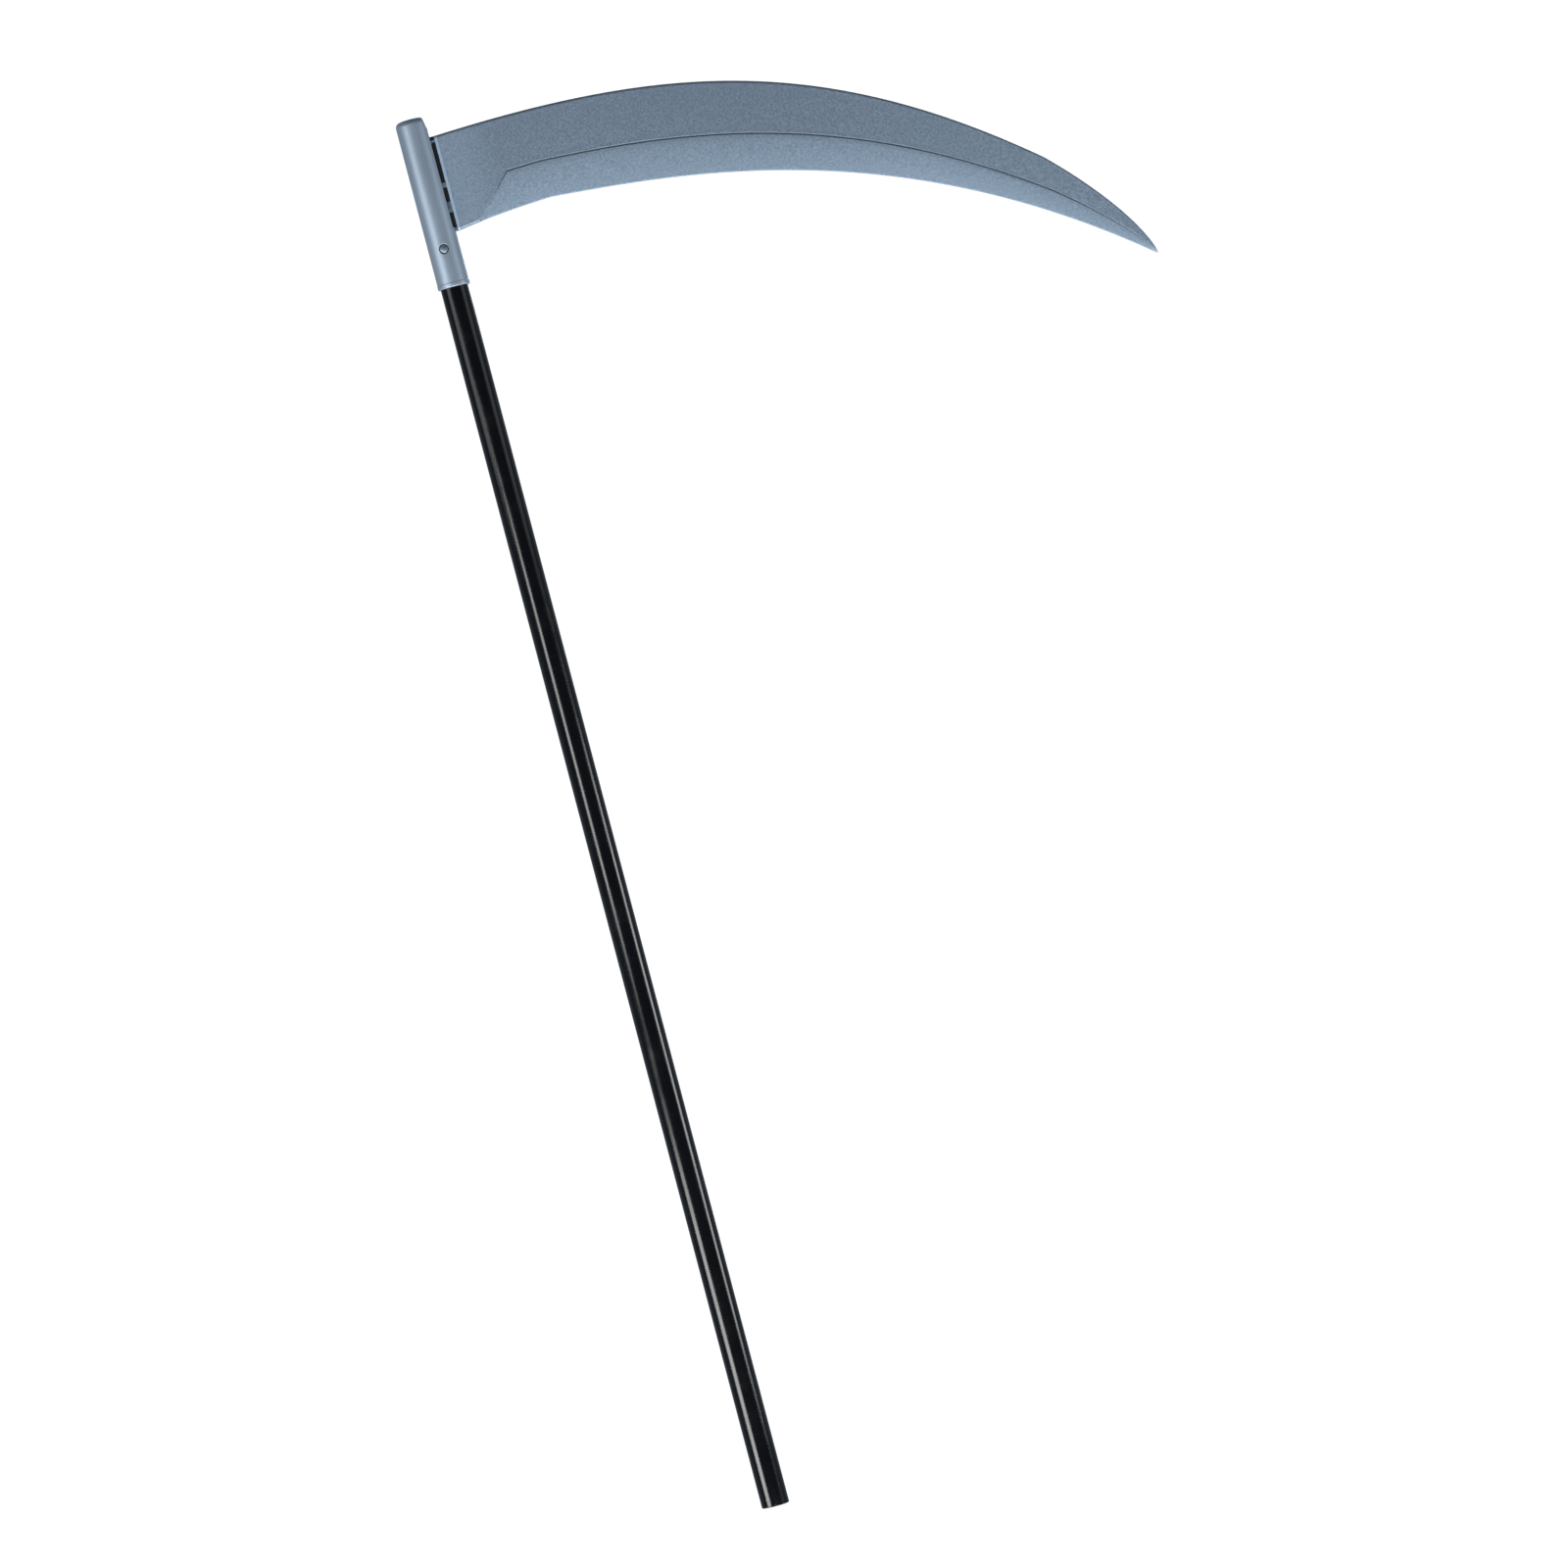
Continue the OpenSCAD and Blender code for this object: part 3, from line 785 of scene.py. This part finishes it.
def outer_outline(x):
    """The outer outline of one half at x as (height, depth, painted shade of the engraved line, paleness
    from the root border and painted light).
    """
    low, high = limits(x)
    size = high - low
    flat = flat_half(x)
    line = line_at(x, low, high)[0]
    fade = line_at(x, low, high)[1] * ramp(REACH - 4 - x, 0, 60) ** 0.5
    seam = min(0.12, size * 0.02)
    edge_r = min(1.6, 0.7 * depth_at(x, low, low, high), size * 0.2)
    edge_d = depth_at(x, low + edge_r, low, high)
    round_z = min(SPINE_ROUND, size * 0.2)
    groove_half = min(GROOVE_HALF, size * 0.06)
    out = [(low + seam, 0.0, 0)]
    for k in range(6):
        a = math.pi / 2 * k / 5
        z, d = low + edge_r * (1 - math.cos(a)), edge_d - edge_r * (1 - math.sin(a))
        out.append((z, max(d, seam), 0))
    start = low + edge_r
    below = max(line - groove_half, start + size * 0.01)
    for k in range(1, 6):
        z = start + (below - start) * k / 6
        out.append((z, depth_at(x, z, low, high), 0))
    for k in range(11):
        z = below + (max(line, below) - below + groove_half) * k / 10
        # Painted shade along the engraved line, strongest at its middle and faded like the cut.
        line_shade = math.exp(-(((z - line) / (groove_half * 0.7)) ** 2)) * fade
        out.append((z, depth_at(x, z, low, high), line_shade))
    above, shoulder = out[-1][0], high - round_z
    for k in range(1, 9):
        z = above + (shoulder - above) * k / 8
        out.append((z, depth_at(x, z, low, high), 0))
    for k in range(1, 8):
        a = math.pi / 2 * k / 7
        out.append((shoulder + round_z * math.sin(a), flat * (0.4 + 0.6 * math.cos(a)), 0))
    out.append((high - seam, 0.0, 0))
    rim = rim_at(x)
    # Paleness per point is the larger of the raised root border's and the painted light on the bevel, root
    # and tip.
    pale = [max(rim, painted_light_at(x, z, low, high)) for z, *_ in out]
    return [(z, d + (RIM_OUT * rim if d > 0 else 0), g, p) for (z, d, g), p in zip(out, pale)]


def inner_outline(x):
    """The hollow of one half at x, from the spine back to the edge; flat past the hollow's end."""
    low, high = limits(x)
    size = high - low
    fill = smooth((HOLLOW_END - x) / 12)
    land = min(LAND, size * 0.25)
    run = ramp(x, DIAG_START, DIAG_END)
    start = low + max(land, run * 0.34 * BEVEL_SHARE * size)
    end = high - land
    out = []
    for k in range(15):
        u = k / 14
        z = end + (start - end) * u
        slope = min(1.0, min(z - start, end - z) / 0.6)
        depth = max(0.0, depth_at(x, z, low, high) - WALL) * fill
        out.append((z, depth * max(0.0, slope), 0, 0))
    return out


def blade_stations():
    """Where the blade is cut into outlines: close together at the root, the slanting end and the tip."""
    spans = (
        (ROOT_X, 17.2, 0.25),
        (17.2, 29, 2),
        (29, 61, 0.8),
        (61, 87, 2),
        (87, 440, 4),
        (440, REACH - 4, 2),
        (REACH - 4, REACH, 0.25),
    )
    out = []
    for a, b, step in spans:
        count = max(1, round((b - a) / step))
        out += [a + (b - a) * k / count for k in range(count)]
    return out + [REACH]


def blade_shell(name, side):
    """One hollow half of the blade as a single closed skin."""
    stations = blade_stations()
    points, groove_shade_weights, paleness_and_painted_light = [], [], []
    for x in stations:
        outline = outer_outline(x) + inner_outline(x)
        points += [(x, side * d, z) for z, d, _, _ in outline]
        groove_shade_weights += [g for _, _, g, _ in outline]
        paleness_and_painted_light += [r for _, _, _, r in outline]
    n = len(points) // len(stations)
    faces = []
    for i in range(len(stations) - 1):
        for k in range(n):
            a, b = i * n + k, i * n + (k + 1) % n
            faces.append((a, b, b + n, a + n))
    faces.append(tuple(range(n)))
    faces.append(tuple(len(points) - 1 - k for k in range(n)))
    shell = new_piece(name, points, faces)
    # Stored per point: painted shade for the engraved line, and the root border's paleness with painted
    # light.
    for label, values in (("groove_shade", groove_shade_weights), ("rim", paleness_and_painted_light)):
        layer = shell.data.attributes.new(label, "FLOAT", "POINT")
        layer.data.foreach_set("value", values)
    return shell


def tongues(side):
    """The moulded tongues at the root and the toe that rests on the socket."""
    def span(half):
        return (0.01, half) if side > 0 else (-half, -0.01)
    y0, y1 = span(TONGUE_HALF)
    out = [block("tongue", (TONGUE_X, y0, ROOT_Z + a), (18, y1, ROOT_Z + b), 0.25) for a, b in TONGUES]
    y0, y1 = span(2.6)
    out.append(block("toe", (SOCKET_R + 0.1, y0, ROOT_Z + 0.3), (SOCKET_R + 3.1, y1, ROOT_Z + 3.1), 0.25))
    return out


def make_blade_front():
    """The front half, with the bosses that the screws bite into."""
    shell = blade_shell("blade_front_half", -1)
    bosses = []
    for x, h in BLADE_SCREWS:
        outline = [
            (PILOT_R, BOSS_TOP, 0.2),
            (BOSS_R, BOSS_TOP, 0.3),
            (BOSS_R, -HALF_T + 0.7, 0),
            (0, -HALF_T + 0.7, 0),
            (0, -HALF_T + 1.6, 0),
            (PILOT_R, -HALF_T + 1.6, 0),
        ]
        bosses.append(lathe("boss", outline, (x, 0, ROOT_Z + h), BACK, 40, 3))
    carve(shell, join("inner parts", bosses + tongues(-1)), "UNION")
    stand_for(shell, "blade_front", "head_section", "blade_silver", 38)


def make_blade_back():
    """The back half, with a countersunk hole for each screw."""
    shell = blade_shell("blade_back_half", 1)
    carve(shell, join("inner parts", tongues(1)), "UNION")
    holes = [countersink(x, ROOT_Z + h, HALF_T, 6) for x, h in BLADE_SCREWS]
    carve(shell, join("holes", holes))
    stand_for(shell, "blade_back", "head_section", "blade_silver", 38)


# ---------------------------------------------------------------- the stage, light and camera

def make_camera():
    """Square on to the front, turned so that the pole's top leans to the left."""
    roll = math.radians(14.782)
    aim = Vector((0.1430, 0, 0.5178))
    frame_w = 1.1677
    data = bpy.data.cameras.new("camera")
    data.lens = 200
    data.sensor_width = 36
    away = frame_w * data.lens / data.sensor_width
    camera = in_scene("camera", data)
    camera.location = aim + Vector(FRONT) * away
    right = Vector((math.cos(roll), 0, -math.sin(roll)))
    up = Vector((math.sin(roll), 0, math.cos(roll)))
    camera.rotation_mode = "QUATERNION"
    camera.rotation_quaternion = Matrix((right, up, Vector(FRONT))).transposed().to_quaternion()
    data.clip_end = 100
    bpy.context.scene.camera = camera


def make_floor():
    """A pale round floor that shows as plain white."""
    bm = bmesh.new()
    bmesh.ops.create_circle(bm, cap_ends=True, segments=96, radius=1.0)
    floor = from_bmesh("floor", bm)
    floor.location.z = -0.0005
    s = Shader("floor_white", (0.85, 0.85, 0.85), 0.9)
    glow = s.node("ShaderNodeEmission")
    glow.inputs["Strength"].default_value = 1.05
    path = s.node("ShaderNodeLightPath")
    blend = s.node("ShaderNodeMixShader")
    s.link(path.outputs["Is Camera Ray"], blend.inputs[0])
    s.link(s.bsdf.outputs[0], blend.inputs[1])
    s.link(glow.outputs[0], blend.inputs[2])
    s.link(blend.outputs[0], s.tree.nodes["Material Output"].inputs["Surface"])
    floor.data.materials.append(s.material)
    floor.visible_shadow = False
    floor.visible_glossy = False


def make_world():
    """A white room to the camera; to everything else a dark one in front, paler behind and below."""
    world = bpy.data.worlds.new("room")
    bpy.context.scene.world = world
    world.use_nodes = True
    tree = world.node_tree
    tree.nodes.clear()
    seen = tree.nodes.new("ShaderNodeBackground")
    seen.inputs["Color"].default_value = (1, 1, 1, 1)
    seen.inputs["Strength"].default_value = 1.05
    room = tree.nodes.new("ShaderNodeBackground")
    room.inputs["Strength"].default_value = 1.0
    coord = tree.nodes.new("ShaderNodeTexCoord")
    split = tree.nodes.new("ShaderNodeSeparateXYZ")
    tree.links.new(coord.outputs["Generated"], split.inputs[0])
    colour = None
    behind = ("Y", -0.5, 0.8, (0.24, 0.285, 0.335, 1))
    below = ("Z", -0.15, -0.55, (0.50, 0.55, 0.62, 1))
    for side, start, end, pale in (behind, below):
        share = tree.nodes.new("ShaderNodeMapRange")
        share.inputs["From Min"].default_value = start
        share.inputs["From Max"].default_value = end
        tree.links.new(split.outputs[side], share.inputs["Value"])
        tint = tree.nodes.new("ShaderNodeMix")
        tint.data_type = "RGBA"
        tint.inputs[6].default_value = (0.045, 0.060, 0.085, 1)
        tint.inputs[7].default_value = pale
        if colour is not None:
            tree.links.new(colour, tint.inputs[6])
        tree.links.new(share.outputs["Result"], tint.inputs["Factor"])
        colour = tint.outputs[2]
    tree.links.new(colour, room.inputs["Color"])
    path = tree.nodes.new("ShaderNodeLightPath")
    blend = tree.nodes.new("ShaderNodeMixShader")
    out = tree.nodes.new("ShaderNodeOutputWorld")
    tree.links.new(path.outputs["Is Camera Ray"], blend.inputs[0])
    tree.links.new(room.outputs[0], blend.inputs[1])
    tree.links.new(seen.outputs[0], blend.inputs[2])
    tree.links.new(blend.outputs[0], out.inputs["Surface"])


def softbox(name, place, target, width, height, power):
    """A rectangular light that faces its target and isn't seen itself."""
    data = bpy.data.lights.new(name, "AREA")
    data.shape = "RECTANGLE"
    data.size, data.size_y = width, height
    data.energy = power
    light = in_scene(name, data)
    light.location = place
    aim = Vector(target) - Vector(place)
    light.rotation_mode = "QUATERNION"
    light.rotation_quaternion = aim.to_track_quat("-Z", "Y")
    light.visible_camera = False


def around(azimuth, distance, height):
    """A place seen from the pole: azimuth in degrees, 0 in front and positive to the right."""
    a = math.radians(azimuth)
    return distance * math.sin(a), -distance * math.cos(a), height


def make_lights():
    """Soft lights left and right of the front, one from below the floor's edge, one behind."""
    softbox("left high", around(-54, 0.85, 1.00), (0, 0, 1.00), 0.45, 0.35, 0.95)
    softbox("left tall", around(-36, 1.3, 0.61), (0, 0, 0.61), 0.40, 0.38, 4.2)
    softbox("left low", around(-50, 1.2, 0.01), (0, 0, 0.01), 0.60, 0.42, 8.0)
    softbox("right high", around(68, 1.4, 1.00), (0, 0, 1.00), 0.70, 0.45, 0.8)
    softbox("right tall", around(75, 1.4, 0.30), (0, 0, 0.30), 0.42, 0.56, 6.0)
    softbox("front low", (0.2, -2.0, -1.2), (0.2, 0, 1.0), 1.2, 0.5, 42)
    softbox("back fill", around(168, 1.9, 1.6), (0.1, 0, 0.6), 1.6, 1.2, 18)


scene = bpy.context.scene
scene.view_settings.view_transform = "Standard"

make_camera()
make_floor()
make_world()
make_lights()

make_pole_section("pole_lower", "lower_section")
make_pole_section("pole_middle", "middle_section")
make_pole_section("pole_upper", "head_section", hole=True)
make_coupler("coupler_lower", "lower_section")
make_coupler("coupler_upper", "middle_section")
make_foot_plug()
make_button()
make_spring()
make_socket()
make_cap()
make_carrier()
make_screws()
make_blade_front()
make_blade_back()

bpy.context.view_layer.update()
